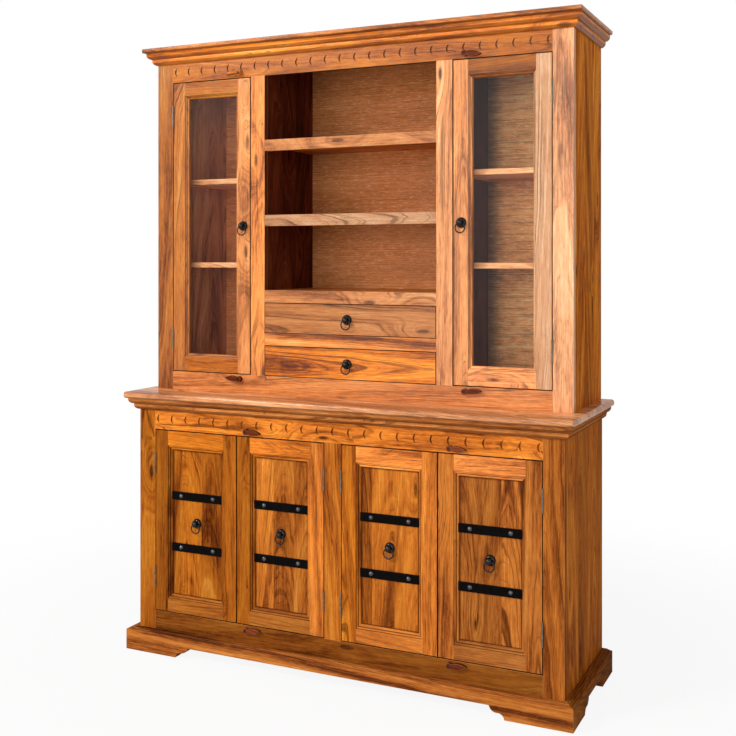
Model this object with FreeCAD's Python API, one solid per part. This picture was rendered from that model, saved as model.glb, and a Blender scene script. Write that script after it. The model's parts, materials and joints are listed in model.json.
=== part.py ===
"""Dresser with a glazed hutch, in solid wood with iron fittings.

Millimetres, +Z up, front towards -Y, origin on the floor under the middle of the counter.
"""
import FreeCAD, Part
import math
import os

# Counter: the widest and deepest board, which the base case and the hutch are placed from
counter_width = 1600.0
counter_depth = 526.0
counter_height = 900.0
counter_thickness = 22.0
counter_nose_radius = 9.0
counter_side_overhang = 40.0
counter_front_overhang = 48.0

# Boards that the base and the hutch share
side_thickness = 22.0
frame_thickness = 22.0
floor_thickness = 20.0
back_thickness = 8.0
housing_depth = 6.0
outer_stile_width = 65.0

# Base case
base_centre_stile_width = 60.0
base_bottom_rail_height = 96.0
base_top_rail_height = 107.0
base_partition_thickness = 22.0
base_shelf_thickness = 18.0
base_shelf_share = 0.515
base_shelf_setback = 40.0

# Plinth with ogee bracket feet
plinth_height = 74.0
plinth_proud = 34.0
plinth_edge_radius = 4.0
plinth_step_count = 2
plinth_step_run = 6.0
plinth_step_drop = 2.0
foot_height = 37.0
front_foot_length = 207.0
side_foot_length = 140.0
ogee_run = 48.0
ogee_cove_share = 0.45
ogee_rise_share = 0.49
case_lift = 5.0
block_size = 60.0

# Moulding of two quarter rounds, under the counter and under the hutch top
moulding_height = 41.0
moulding_projection = 30.0
moulding_quirk = 2.5
moulding_foot = 3.0

# Hutch
hutch_height = 1216.0
hutch_setback = 153.0
hutch_back_inset = 15.0
hutch_top_thickness = 15.0
hutch_top_nose_radius = 5.0
hutch_top_side_overhang = 38.0
hutch_top_front_overhang = 49.0
hutch_bottom_rail_height = 63.0
hutch_top_rail_height = 107.0
hutch_bay_width = 632.0
hutch_inner_stile_width = 55.0
hutch_partition_thickness = 20.0
cabinet_lining_thickness = 12.0
cabinet_shelf_thickness = 18.0
cabinet_shelf_shares = (0.377, 0.665)
cabinet_shelf_setback = 25.0

# Middle bay of the hutch: open shelves over two drawers
bay_shelf_thickness = 20.0
bay_shelf_lip_height = 38.0
bay_shelf_shares = (0.35, 0.70)
bay_face_setback = 1.0
drawer_opening_height = 105.0
drawer_rail_height = 42.0
drawer_top_thickness = 18.0
runner_width = 30.0
runner_height = 20.0

# Drawers
drawer_front_gap = 2.5
drawer_side_gap = 1.5
drawer_run_gap = 0.3
drawer_wall = 12.0
drawer_back_gap = 28.0
drawer_wall_drop = 21.0
drawer_bottom_thickness = 6.0
drawer_bottom_lift = 8.0
drawer_groove = 6.0

# Doors
hinge_gap = 3.0
meeting_gap = 4.5
free_gap = 4.0
door_end_gap = 3.5
panelled_stile_width = 50.0
panelled_top_rail_width = 51.0
panelled_bottom_rail_width = 45.0
panelled_bead_run = 14.5
glazed_stile_width = 48.5
glazed_top_rail_width = 47.0
glazed_bottom_rail_width = 50.0
glazed_bead_run = 11.5
door_bead_depth = 12.0
door_panel_lip = 0.5
door_tongue = 7.0
panel_thickness = 6.0
glass_thickness = 4.0

# Inner moulding of the doors: shares of its run that are left, at shares of its depth
bead_run_shares = (1.0, 1.0, 0.92, 0.78, 0.67, 0.61, 0.59, 0.45, 0.28, 0.14, 0.05, 0.0)
bead_depth_shares = (0.0, 0.22, 0.23, 0.27, 0.36, 0.47, 0.60, 0.62, 0.66, 0.75, 0.87, 1.0)

# Iron straps and their rivets on the lower doors
strap_height = 28.5
strap_thickness = 4.0
strap_lap = 2.5
strap_end_gap = 0.5
strap_spacing = 178.0
rivet_end_distance = 37.0
rivet_head_radius = 8.0
rivet_head_height = 5.0
rivet_shank_radius = 2.5

# Butt hinges, with the pin in front of the gap between stile and door
hinge_height = 72.0
hinge_end_distance = 116.0
hinge_leaf_thickness = 1.3
hinge_leaf_back_margin = 2.5
hinge_leaf_setback = 0.5
knuckle_radius = 2.6
knuckle_face_gap = 0.4
knuckle_end_gap = 0.3
hinge_pin_radius = 1.3
hinge_pin_clearance = 0.05
hinge_pin_head_radius = 2.2
hinge_pin_head_height = 1.2

# Ring pulls
pull_inset = 26.0
rosette_radius = 17.0
rosette_edge = 2.0
rosette_dome = 9.0
stud_neck_radius = 5.5
stud_eye_radius = 12.0
stud_eye_half_width = 8.5
stud_eye_out = 13.0
ring_radius = 16.0
ring_wire_radius = 2.0
ring_clearance = 0.3
rosette_bulge_shares = (0.72, 0.86)

# Turn latches
latch_offset = 15.0
latch_inset = 39.0
latch_thickness = 13.0
latch_gap = 0.4
latch_head_radius = 9.5
latch_waist_distance = 8.0
latch_waist_half = 6.0
latch_leaf_distance = 32.0
latch_leaf_half = 8.5
latch_tip_distance = 55.0
latch_tip_lean = 4.0
screw_radius = 2.4
screw_clearance = 0.05
screw_head_radius = 4.0
screw_head_height = 2.5
screw_recess_gap = 0.3
screw_recess_depth = 4.0
screw_bite = 15.0

# Crescent gouges along the two top rails
crescent_height = 30.0
crescent_bow = 10.0
crescent_width = 6.0
crescent_depth = 3.5
crescent_end_distance = 13.0
base_crescent_count = 25
hutch_crescent_count = 26
base_crescent_lift = 37.0
hutch_crescent_lift = 36.0

# Room that cuts run past the faces that they open
overrun = 1.0

# Places that several pieces share
half_counter = counter_width / 2
counter_front = -counter_depth / 2
counter_back = counter_depth / 2
counter_bottom = counter_height - counter_thickness
base_half = half_counter - counter_side_overhang
base_front = counter_front + counter_front_overhang
base_inner_front = base_front + frame_thickness
base_inner_back = counter_back - back_thickness
case_bottom = foot_height + case_lift
base_opening_bottom = case_bottom + base_bottom_rail_height
base_opening_top = counter_bottom - base_top_rail_height
opening_half = base_half - outer_stile_width
inside_half = base_half - side_thickness
hutch_front = counter_front + hutch_setback
hutch_inner_front = hutch_front + frame_thickness
hutch_back = counter_back - hutch_back_inset
hutch_inner_back = hutch_back - back_thickness
total_height = counter_height + hutch_height
hutch_top_bottom = total_height - hutch_top_thickness
hutch_opening_bottom = counter_height + hutch_bottom_rail_height
hutch_opening_top = hutch_top_bottom - hutch_top_rail_height
bay_half = hutch_bay_width / 2
inner_stile_half = bay_half + hutch_inner_stile_width
middle_rail_bottom = hutch_opening_bottom + drawer_opening_height
middle_rail_top = middle_rail_bottom + drawer_rail_height
upper_rail_bottom = middle_rail_top + drawer_opening_height
upper_rail_top = upper_rail_bottom + drawer_rail_height
base_shelf_top = base_opening_bottom + (base_opening_top - base_opening_bottom) * base_shelf_share
cabinet_shelf_tops = [hutch_opening_bottom + (hutch_opening_top - hutch_opening_bottom) * share
                      for share in cabinet_shelf_shares]
bay_shelf_tops = [upper_rail_top + (hutch_opening_top - upper_rail_top) * share for share in bay_shelf_shares]
panel_recess = door_bead_depth + door_panel_lip
pin_proud = knuckle_radius + knuckle_face_gap
SIDES = (-1, 1)
ALONG_X = FreeCAD.Vector(1, 0, 0)
ALONG_Y = FreeCAD.Vector(0, 1, 0)
ALONG_Z = FreeCAD.Vector(0, 0, 1)
DIAGONAL_SHARE = math.sqrt(0.5)


def box(x0, x1, y0, y1, z0, z1):
    """Board between two opposite corners, given in either order."""
    corner = FreeCAD.Vector(min(x0, x1), min(y0, y1), min(z0, z1))
    return Part.makeBox(abs(x1 - x0), abs(y1 - y0), abs(z1 - z0), corner)


def rod(radius, start, end):
    """Round bar from one point to another."""
    return Part.makeCylinder(radius, (end - start).Length, start, end - start)


def line(start, end):
    return Part.LineSegment(start, end).toShape()


def arc(start, middle, end):
    return Part.Arc(start, middle, end).toShape()


def face_of(edges):
    return Part.Face(Part.Wire(edges))


def polygon(points):
    return Part.Face(Part.makePolygon(list(points) + [points[0]]))


def cut_all(solid, tools):
    return solid.cut(list(tools)) if tools else solid


def save(node, solids):
    """Write one node, whose separate solids stay separate."""
    Part.makeCompound(list(solids)).exportStep("parts/" + node + ".step")


def quarter_middle(start, end):
    """Middle of the quarter round that leaves its start steeply and meets its end level."""
    out = end[0] + (start[0] - end[0]) * DIAGONAL_SHARE
    up = start[1] + (end[1] - start[1]) * DIAGONAL_SHARE
    return out, up


def nosed_board(half_width, front, back, bottom, top, radius):
    """Board with its front and side edges rounded, and its back edges square."""
    board = box(-half_width, half_width, front, back, bottom, top)
    inner_back = back - radius
    edges = [edge for edge in board.Edges if edge.CenterOfMass.y < inner_back]
    return board.makeFillet(radius, edges)


def mitred_run(half_width, front, back, projection, profile):
    """Front piece and two returns of a profile round a case, mitred at the front corners."""
    outer_half = half_width + projection
    outer_front = front - projection
    low = -overrun
    high = total_height + overrun

    def plan(points):
        base = [FreeCAD.Vector(x, y, low) for x, y in points]
        return polygon(base).extrude(ALONG_Z * (high - low))

    run = profile(lambda out, up: FreeCAD.Vector(-outer_half, front - out, up))
    run = run.extrude(ALONG_X * 2 * outer_half)
    trim = [(-half_width, front), (half_width, front), (outer_half, outer_front), (-outer_half, outer_front)]
    pieces = [run.common(plan(trim))]
    for side in SIDES:
        run = profile(lambda out, up: FreeCAD.Vector(side * (half_width + out), outer_front, up))
        run = run.extrude(ALONG_Y * (back - outer_front))
        trim = [(half_width, front), (outer_half, outer_front), (outer_half, back), (half_width, back)]
        pieces.append(run.common(plan([(side * x, y) for x, y in trim])))
    return pieces


def moulding_profile(bottom):
    """Two stacked quarter rounds with a small square quirk over each."""
    top = bottom + moulding_height
    step = bottom + moulding_height / 2
    run = (moulding_projection - moulding_quirk - moulding_foot) / 2
    first_start = (moulding_projection, top - moulding_quirk)
    first_end = (moulding_projection - run, step)
    second_start = (first_end[0] - moulding_quirk, step - moulding_quirk)
    second_end = (moulding_foot, bottom)

    def profile(place):
        return face_of([
            line(place(0, bottom), place(0, top)),
            line(place(0, top), place(moulding_projection, top)),
            line(place(moulding_projection, top), place(*first_start)),
            arc(place(*first_start), place(*quarter_middle(first_start, first_end)), place(*first_end)),
            line(place(*first_end), place(second_start[0], step)),
            line(place(second_start[0], step), place(*second_start)),
            arc(place(*second_start), place(*quarter_middle(second_start, second_end)), place(*second_end)),
            line(place(*second_end), place(0, bottom)),
        ])
    return profile


def plinth_profile(place):
    """Upright board whose upper outer edge falls in small steps to a rounded corner."""
    out = plinth_proud - plinth_edge_radius - plinth_step_count * plinth_step_run
    up = plinth_height
    ledge = [(0, 0), (0, up), (out, up)]
    for step in range(plinth_step_count):
        ledge.append((out, up - plinth_step_drop))
        out += plinth_step_run
        up -= plinth_step_drop
        ledge.append((out, up))
    round_end = (out, up)
    round_start = (plinth_proud, up - plinth_edge_radius)
    edges = [line(place(*start), place(*end)) for start, end in zip(ledge, ledge[1:])]
    return face_of(edges + [
        arc(place(*round_end), place(*quarter_middle(round_start, round_end)), place(*round_start)),
        line(place(*round_start), place(plinth_proud, 0)),
        line(place(plinth_proud, 0), place(0, 0)),
    ])


def foot_gap(place, near, far):
    """Opening under a plinth board: an ogee up from each foot, with a level edge between them."""
    cove_run = ogee_run * ogee_cove_share
    cove_rise = foot_height * ogee_rise_share

    def ogee(floor_end, inward):
        start = place(floor_end, 0)
        bend = place(floor_end + inward * cove_run, cove_rise)
        top = place(floor_end + inward * ogee_run, foot_height)
        cove_middle = place(floor_end + inward * cove_run * (1 - DIAGONAL_SHARE), cove_rise * DIAGONAL_SHARE)
        round_run = (ogee_run - cove_run) * DIAGONAL_SHARE
        round_rise = (foot_height - cove_rise) * DIAGONAL_SHARE
        round_middle = place(floor_end + inward * (cove_run + round_run), foot_height - round_rise)
        return [arc(start, cove_middle, bend), arc(bend, round_middle, top)]

    rise = ogee(near, 1)
    fall = ogee(far, -1)
    level = line(place(near + ogee_run, foot_height), place(far - ogee_run, foot_height))
    below = [place(near, 0), place(near, -overrun), place(far, -overrun), place(far, 0)]
    floor = [line(start, end) for start, end in zip(below, below[1:])]
    return face_of(rise + [level] + fall[::-1] + floor[::-1])


def plinth():
    """Three mitred boards on bracket feet, with glue blocks under the corners of the case."""
    front_board, *side_boards = mitred_run(base_half, base_front, counter_back, plinth_proud, plinth_profile)
    outer_half = base_half + plinth_proud
    outer_front = base_front - plinth_proud
    foot_end = outer_half - front_foot_length
    gap = foot_gap(lambda along, up: FreeCAD.Vector(along, outer_front - overrun, up), -foot_end, foot_end)
    solids = [front_board.cut(gap.extrude(ALONG_Y * (plinth_proud + 2 * overrun)))]
    for side, board in zip(SIDES, side_boards):
        near = outer_front + side_foot_length
        far = counter_back - side_foot_length
        start = base_half - overrun
        gap = foot_gap(lambda along, up: FreeCAD.Vector(side * start, along, up), near, far)
        solids.append(board.cut(gap.extrude(ALONG_X * side * (plinth_proud + 2 * overrun))))
        for y0, y1 in ((base_front, base_front + block_size), (counter_back - block_size, counter_back)):
            solids.append(box(side * base_half, side * (base_half - block_size), y0, y1, 0, case_bottom))
    return solids


def crescent(x, front, middle):
    """Moon-shaped gouge, open to the right, cut into a rail's face."""
    start = FreeCAD.Vector(x, front - overrun, middle - crescent_height / 2)
    end = FreeCAD.Vector(x, front - overrun, middle + crescent_height / 2)
    outer = FreeCAD.Vector(x - crescent_bow, front - overrun, middle)
    inner = FreeCAD.Vector(x - crescent_bow + crescent_width, front - overrun, middle)
    moon = face_of([arc(start, outer, end), arc(end, inner, start)])
    return moon.extrude(ALONG_Y * (crescent_depth + overrun))


def carved(rail, front, middle, count):
    """Rail with an even row of crescents between its two ends."""
    end = opening_half - crescent_end_distance
    pitch = 2 * end / (count - 1)
    places = [crescent_bow / 2 - end + pitch * index for index in range(count)]
    return cut_all(rail, [crescent(x, front, middle) for x in places])


class Door:
    """Outline of one inset door: its edges, its hinge side (-1 left, 1 right), its face and its frame."""

    def __init__(self, name, hinge, opening, levels, front, gap, frame):
        left, right = opening
        bottom, top = levels
        stile_width, bottom_rail_width, top_rail_width, self.bead_run = frame
        self.name = name
        self.hinge = hinge
        self.front = front
        self.opening_bottom = bottom
        self.opening_top = top
        self.bottom = bottom + door_end_gap
        self.top = top - door_end_gap
        self.hinge_edge = left if hinge < 0 else right
        self.left = left + (hinge_gap if hinge < 0 else gap)
        self.right = right - (gap if hinge < 0 else hinge_gap)
        self.free_edge = self.right if hinge < 0 else self.left
        self.middle_x = (self.left + self.right) / 2
        self.middle_z = (self.bottom + self.top) / 2
        self.flat_left = self.left + stile_width
        self.flat_right = self.right - stile_width
        self.flat_bottom = self.bottom + bottom_rail_width
        self.flat_top = self.top - top_rail_width
        self.inner_left = self.flat_left + self.bead_run
        self.inner_right = self.flat_right - self.bead_run
        self.inner_bottom = self.flat_bottom + self.bead_run
        self.inner_top = self.flat_top - self.bead_run


def lower_doors():
    """Two pairs of doors, left and right of the centre stile."""
    half_stile = base_centre_stile_width / 2
    levels = (base_opening_bottom, base_opening_top)
    frame = (panelled_stile_width, panelled_bottom_rail_width, panelled_top_rail_width, panelled_bead_run)
    doors = []
    for start, end in ((-opening_half, -half_stile), (half_stile, opening_half)):
        middle = (start + end) / 2
        for hinge, opening in ((-1, (start, middle)), (1, (middle, end))):
            name = "lower_door_%d" % (len(doors) + 1)
            doors.append(Door(name, hinge, opening, levels, base_front, meeting_gap / 2, frame))
    return doors


def upper_doors():
    """Glazed doors of the left and right cabinets."""
    spans = {"upper_door_left": (-1, (-opening_half, -inner_stile_half)),
             "upper_door_right": (1, (inner_stile_half, opening_half))}
    levels = (hutch_opening_bottom, hutch_opening_top)
    frame = (glazed_stile_width, glazed_bottom_rail_width, glazed_top_rail_width, glazed_bead_run)
    return [Door(name, hinge, opening, levels, hutch_front, free_gap, frame)
            for name, (hinge, opening) in spans.items()]


def door_panel(door, thickness):
    """Panel or pane, with its edges let into the frame."""
    front = door.front + panel_recess
    return box(door.inner_left - door_tongue, door.inner_right + door_tongue, front, front + thickness,
               door.inner_bottom - door_tongue, door.inner_top + door_tongue)


def door_frame(door, cuts):
    """Two stiles and two rails, mitred at the inner moulding, with grooves for what is let into them."""
    back = door.front + frame_thickness

    def outline(y, spread):
        corners = [(door.inner_left - spread, door.inner_bottom - spread),
                   (door.inner_right + spread, door.inner_bottom - spread),
                   (door.inner_right + spread, door.inner_top + spread),
                   (door.inner_left - spread, door.inner_top + spread)]
        points = [FreeCAD.Vector(x, y, z) for x, z in corners]
        return Part.makePolygon(points + [points[0]])

    sections = [outline(door.front + door_bead_depth * depth, door.bead_run * run)
                for run, depth in zip(bead_run_shares, bead_depth_shares)]
    bead = Part.makeLoft(sections, True, True)
    opening = box(door.inner_left, door.inner_right, door.front, back + overrun,
                  door.inner_bottom, door.inner_top)
    frame = box(door.left, door.right, door.front, back, door.bottom, door.top)
    frame = frame.cut([bead, opening] + cuts)
    stiles = [[(outer, door.bottom), (flat, door.bottom), (flat, door.flat_bottom), (inner, door.inner_bottom),
               (inner, door.inner_top), (flat, door.flat_top), (flat, door.top), (outer, door.top)]
              for outer, flat, inner in ((door.left, door.flat_left, door.inner_left),
                                         (door.right, door.flat_right, door.inner_right))]
    rails = [[(door.flat_left, outer), (door.flat_right, outer), (door.flat_right, flat),
              (door.inner_right, inner), (door.inner_left, inner), (door.flat_left, flat)]
             for outer, flat, inner in ((door.bottom, door.flat_bottom, door.inner_bottom),
                                        (door.top, door.flat_top, door.inner_top))]
    solids = []
    for blank in stiles + rails:
        face = polygon([FreeCAD.Vector(x, door.front, z) for x, z in blank])
        solids.append(frame.common(face.extrude(ALONG_Y * frame_thickness)))
    return solids


def rivets(door):
    """Domed rivets, two to a strap, with shanks through strap and panel."""
    seat = door.front + panel_recess
    strap_face = seat - strap_thickness
    ball = (rivet_head_radius ** 2 + rivet_head_height ** 2) / (2 * rivet_head_height)
    solids = []
    for level in SIDES:
        z = door.middle_z + level * strap_spacing / 2
        for side in SIDES:
            opening_end = door.inner_right if side > 0 else door.inner_left
            x = opening_end + side * (strap_lap - rivet_end_distance)
            centre = FreeCAD.Vector(x, strap_face - rivet_head_height + ball, z)
            room = box(x - ball, x + ball, strap_face - ball, strap_face, z - ball, z + ball)
            head = Part.makeSphere(ball, centre).common(room)
            shank = rod(rivet_shank_radius, FreeCAD.Vector(x, strap_face, z),
                        FreeCAD.Vector(x, seat + panel_thickness, z))
            solids.append(head.fuse(shank))
    return solids


def straps(door, gap):
    """Two flat iron bars across the panel, let into the moulding, with a gap past their ends."""
    seat = door.front + panel_recess
    reach = strap_lap + gap
    bars = []
    for level in SIDES:
        z = door.middle_z + level * strap_spacing / 2
        bars.append(box(door.inner_left - reach, door.inner_right + reach, seat - strap_thickness, seat,
                        z - strap_height / 2, z + strap_height / 2))
    return bars


def pull_stud(x, seat, z):
    """Domed rosette with a flattened ball, bored from side to side for the ring."""
    def place(radius, out):
        return FreeCAD.Vector(x + radius, seat - out, z)

    bulge_radius = stud_neck_radius + (rosette_radius - stud_neck_radius) * rosette_bulge_shares[0]
    bulge_out = rosette_edge + (rosette_dome - rosette_edge) * rosette_bulge_shares[1]
    profile = face_of([
        line(place(0, 0), place(rosette_radius, 0)),
        line(place(rosette_radius, 0), place(rosette_radius, rosette_edge)),
        arc(place(rosette_radius, rosette_edge), place(bulge_radius, bulge_out),
            place(stud_neck_radius, rosette_dome)),
        line(place(stud_neck_radius, rosette_dome), place(stud_neck_radius, stud_eye_out)),
        line(place(stud_neck_radius, stud_eye_out), place(0, stud_eye_out)),
        line(place(0, stud_eye_out), place(0, 0)),
    ])
    rosette = profile.revolve(place(0, 0), ALONG_Y, 360)
    eye_y = seat - stud_eye_out
    slab = box(x - stud_eye_half_width, x + stud_eye_half_width, eye_y - stud_eye_radius,
               eye_y + stud_eye_radius, z - stud_eye_radius, z + stud_eye_radius)
    eye = Part.makeSphere(stud_eye_radius, FreeCAD.Vector(x, eye_y, z)).common(slab)
    ring_inside = math.sqrt((ring_radius - ring_wire_radius) ** 2 - stud_eye_half_width ** 2)
    hole = ring_radius - ring_inside + ring_clearance
    bore = rod(hole, FreeCAD.Vector(x - stud_eye_radius, eye_y, z),
               FreeCAD.Vector(x + stud_eye_radius, eye_y, z))
    return rosette.fuse(eye).cut(bore)


def pull_ring(x, seat, z):
    """Ring that hangs through the stud."""
    centre = FreeCAD.Vector(x, seat - stud_eye_out, z - ring_radius)
    return Part.makeTorus(ring_radius, ring_wire_radius, centre, ALONG_Y)


def hinge(door, middle):
    """Case leaf, pin and door leaf of one butt hinge."""
    inward = -door.hinge
    axis_x = door.hinge_edge + inward * hinge_gap / 2
    axis_y = door.front - pin_proud
    bottom = middle - hinge_height / 2
    top = middle + hinge_height / 2
    third = hinge_height / 3
    leaf_front = door.front + hinge_leaf_setback
    leaf_back = door.front + frame_thickness - hinge_leaf_back_margin
    bore = rod(hinge_pin_radius + hinge_pin_clearance, FreeCAD.Vector(axis_x, axis_y, bottom - overrun),
               FreeCAD.Vector(axis_x, axis_y, top + overrun))

    def leaf(edge, direction, knuckles):
        inner = edge + direction * hinge_leaf_thickness
        solid = box(edge, inner, leaf_front, leaf_back, bottom, top)
        for z0, z1 in knuckles:
            neck = box(edge, inner, axis_y, leaf_back, z0, z1)
            low_end = FreeCAD.Vector(axis_x, axis_y, z0)
            barrel = rod(knuckle_radius, low_end, low_end + ALONG_Z * (z1 - z0))
            solid = solid.fuse([neck, barrel])
        return solid.removeSplitter().cut(bore)

    case_leaf = leaf(door.hinge_edge, inward,
                     [(bottom, bottom + third - knuckle_end_gap), (top - third + knuckle_end_gap, top)])
    door_leaf = leaf(door.hinge_edge + inward * hinge_gap, -inward, [(bottom + third, top - third)])
    pin_end = FreeCAD.Vector(axis_x, axis_y, top)
    pin = rod(hinge_pin_radius, FreeCAD.Vector(axis_x, axis_y, bottom), pin_end)
    head = rod(hinge_pin_head_radius, pin_end, pin_end + ALONG_Z * hinge_pin_head_height)
    return case_leaf, pin.fuse(head), door_leaf


def hinges(door):
    """The upper and the lower hinge of a door."""
    return [hinge(door, door.bottom + hinge_end_distance), hinge(door, door.top - hinge_end_distance)]


class Latch:
    """Place of one turn latch, stored turned aside along its rail, towards the door's hinges."""

    def __init__(self, door, end):
        edge = door.opening_top if end > 0 else door.opening_bottom
        self.name = "latch_%s_%s" % (door.name, "top" if end > 0 else "bottom")
        self.x = door.free_edge + door.hinge * latch_inset
        self.z = edge + end * latch_offset
        self.front = door.front
        self.tail = door.hinge
        self.lean = -end * latch_tip_lean


def latch_body(latch):
    """Wooden button: a round head on the screw, a narrow waist and a leaf that ends in a leaning tip."""
    back = latch.front - latch_gap
    front = back - latch_thickness

    def place(along, across):
        return FreeCAD.Vector(latch.x + latch.tail * along, front, latch.z + across)

    waist_low = place(latch_waist_distance, -latch_waist_half)
    waist_high = place(latch_waist_distance, latch_waist_half)
    tip = place(latch_tip_distance, latch.lean)
    outline = face_of([
        arc(waist_high, place(-latch_head_radius, 0), waist_low),
        arc(waist_low, place(latch_leaf_distance, -latch_leaf_half + latch.lean / 2), tip),
        arc(tip, place(latch_leaf_distance, latch_leaf_half + latch.lean / 2), waist_high),
    ])
    body = outline.extrude(ALONG_Y * latch_thickness)
    bore = rod(screw_radius + screw_clearance, FreeCAD.Vector(latch.x, front - overrun, latch.z),
               FreeCAD.Vector(latch.x, back + overrun, latch.z))
    recess = rod(screw_head_radius + screw_recess_gap, FreeCAD.Vector(latch.x, front - overrun, latch.z),
                 FreeCAD.Vector(latch.x, front + screw_recess_depth, latch.z))
    return body.cut([bore, recess])


def latch_screw(latch):
    """Screw whose head sits in the button's recess and whose shank bites into the rail."""
    seat = latch.front - latch_gap - latch_thickness + screw_recess_depth - screw_recess_gap
    head = rod(screw_head_radius, FreeCAD.Vector(latch.x, seat - screw_head_height, latch.z),
               FreeCAD.Vector(latch.x, seat, latch.z))
    shank = rod(screw_radius, FreeCAD.Vector(latch.x, seat, latch.z),
                FreeCAD.Vector(latch.x, latch.front + screw_bite, latch.z))
    return head.fuse(shank)


def screw_hole(latch):
    return rod(screw_radius + screw_clearance, FreeCAD.Vector(latch.x, latch.front - overrun, latch.z),
               FreeCAD.Vector(latch.x, latch.front + screw_bite + screw_clearance, latch.z))


def face_rail(front, bottom, top, latches):
    """Rail between the outer stiles, drilled for the latch screws that fall on it."""
    rail = box(-opening_half, opening_half, front, front + frame_thickness, bottom, top)
    return cut_all(rail, [screw_hole(latch) for latch in latches if bottom < latch.z < top])


def base_case(latches):
    """Carcass, face frame, counter and moulding of the base."""
    floor_bottom = base_opening_bottom - floor_thickness
    floor = box(-inside_half - housing_depth, inside_half + housing_depth,
                base_inner_front, base_inner_back, floor_bottom, base_opening_bottom)
    half_partition = base_partition_thickness / 2
    shelves = []
    for side in SIDES:
        shelves.append(box(side * (half_partition - housing_depth), side * (inside_half + housing_depth),
                           base_inner_front + base_shelf_setback, base_inner_back,
                           base_shelf_top - base_shelf_thickness, base_shelf_top))
    partition = box(-half_partition, half_partition, base_inner_front, base_inner_back,
                    base_opening_bottom, counter_bottom)
    sides = [box(side * inside_half, side * base_half, base_inner_front, counter_back,
                 case_bottom, counter_bottom) for side in SIDES]
    outer = [box(side * opening_half, side * base_half, base_front, base_inner_front,
                 case_bottom, counter_bottom) for side in SIDES]
    half_stile = base_centre_stile_width / 2
    centre = box(-half_stile, half_stile, base_front, base_inner_front, base_opening_bottom, base_opening_top)
    top_rail = face_rail(base_front, base_opening_top, counter_bottom, latches)
    top_rail = carved(top_rail, base_front, base_opening_top + base_crescent_lift, base_crescent_count)
    bottom_rail = face_rail(base_front, case_bottom, base_opening_bottom, latches)
    save("base_floor", [floor])
    save("base_shelves", shelves)
    save("base_partition", [partition.cut(shelves)])
    save("base_sides", [side.cut(shelves + [floor]) for side in sides])
    save("base_back", [box(-inside_half, inside_half, base_inner_back, counter_back, floor_bottom,
                           counter_bottom)])
    save("base_stiles", outer + [centre])
    save("base_rails", [top_rail, bottom_rail])
    save("countertop", [nosed_board(half_counter, counter_front, counter_back, counter_bottom, counter_height,
                                    counter_nose_radius)])
    save("counter_moulding", mitred_run(base_half, base_front, counter_back, moulding_projection,
                                        moulding_profile(counter_bottom - moulding_height)))
    save("plinth", plinth())


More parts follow.
